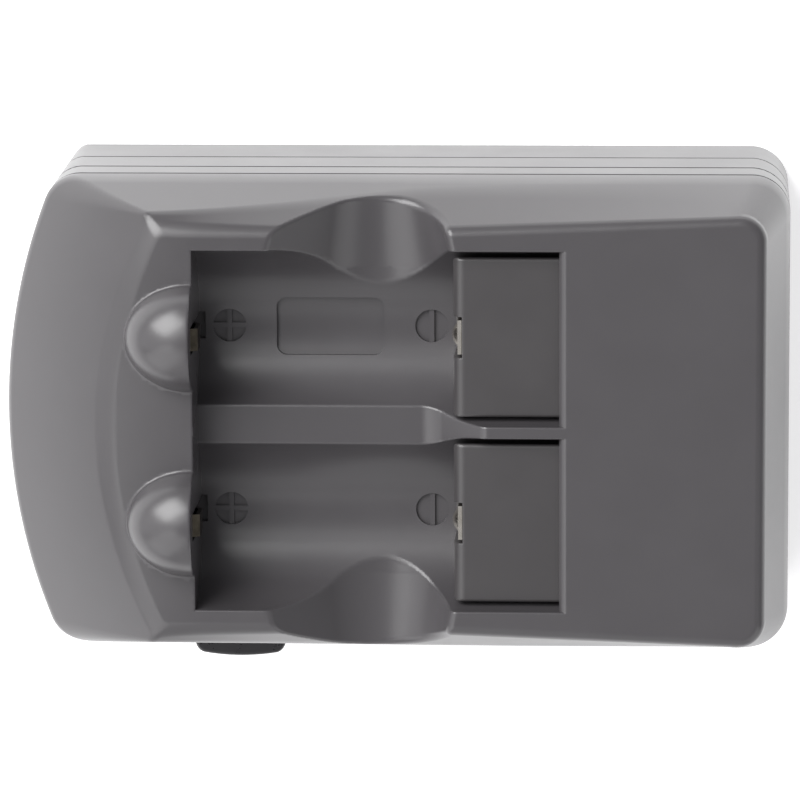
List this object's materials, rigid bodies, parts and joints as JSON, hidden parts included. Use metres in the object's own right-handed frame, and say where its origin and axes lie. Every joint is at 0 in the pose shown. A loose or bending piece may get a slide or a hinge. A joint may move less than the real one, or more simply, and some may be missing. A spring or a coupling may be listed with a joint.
{
  "type": "lithium battery charger",
  "caption": "Charger for small round lithium cells, with open bays, finger scoops, sprung contact sliders, a side selector and a mains plug that folds into its back.",
  "frame": {"origin": "middle of the flat back, halfway between the ends of the body and on its long centre line", "axes": "+X along the cells from the fixed contacts to the sprung sliders, +Y to the upper bay in the picture, +Z out of the open bays"},
  "size_m": [0.081, 0.0517, 0.0406],
  "materials": {
    "housing_abs": "fine satin texture, warm dark grey",
    "slider_abs": "fine satin texture, dark grey",
    "knob_abs": "smooth black",
    "nickel_steel": "nickel plated strip",
    "spring_steel": "drawn wire",
    "blade_nickel": "nickel plated brass",
    "screw_steel": "zinc plated",
    "tinned_steel": "tinned sheet",
    "board_laminate": "green solder mask",
    "ferrite_core": "dark ferrite with a yellow taped winding",
    "capacitor_sleeve": "shrink sleeve",
    "moulded_epoxy": "moulded package",
    "fuse_ceramic": "lacquered"
  },
  "bodies": {
    "case": {"front_housing": "housing_abs", "rear_cover": "housing_abs", "slider_spring_upper": "spring_steel", "slider_spring_lower": "spring_steel", "spring_terminal_upper": "nickel_steel", "spring_terminal_lower": "nickel_steel", "positive_contact_upper": "nickel_steel", "positive_contact_lower": "nickel_steel", "selector_switch": "tinned_steel", "circuit_board": "board_laminate", "transformer": "ferrite_core", "mains_capacitor": "capacitor_sleeve", "output_capacitor": "capacitor_sleeve", "controller_chip": "moulded_epoxy", "bridge_rectifier": "moulded_epoxy", "fuse": "fuse_ceramic", "blade_spring_left": "nickel_steel", "blade_spring_right": "nickel_steel", "cover_screws": "screw_steel"},
    "slider_upper": {"slider_upper": "slider_abs", "negative_contact_upper": "nickel_steel", "slider_keeper_upper": "nickel_steel"},
    "slider_lower": {"slider_lower": "slider_abs", "negative_contact_lower": "nickel_steel", "slider_keeper_lower": "nickel_steel"},
    "selector": {"selector_knob": "knob_abs", "switch_actuator": "knob_abs"},
    "plug": {"plug_carrier": "slider_abs", "plug_blade_left": "blade_nickel", "plug_blade_right": "blade_nickel"}
  },
  "joints": [
    {"name": "slider_upper_slide", "type": "slide", "parent": "case", "child": "slider_upper", "axis": [1, 0, 0], "range_m": [0, 0.0095], "stiffness_N_per_m": 200, "springref_m": -0.002, "deforming": ["slider_spring_upper"]},
    {"name": "slider_lower_slide", "type": "slide", "parent": "case", "child": "slider_lower", "axis": [1, 0, 0], "range_m": [0, 0.0095], "stiffness_N_per_m": 200, "springref_m": -0.002, "deforming": ["slider_spring_lower"]},
    {"name": "selector_slide", "type": "slide", "parent": "case", "child": "selector", "axis": [1, 0, 0], "range_m": [0, 0.003]},
    {"name": "plug_fold", "type": "hinge", "parent": "case", "child": "plug", "pos_m": [0.008, 0, 0.0035], "axis": [0, 1, 0], "range_deg": [0, 90]}
  ]
}
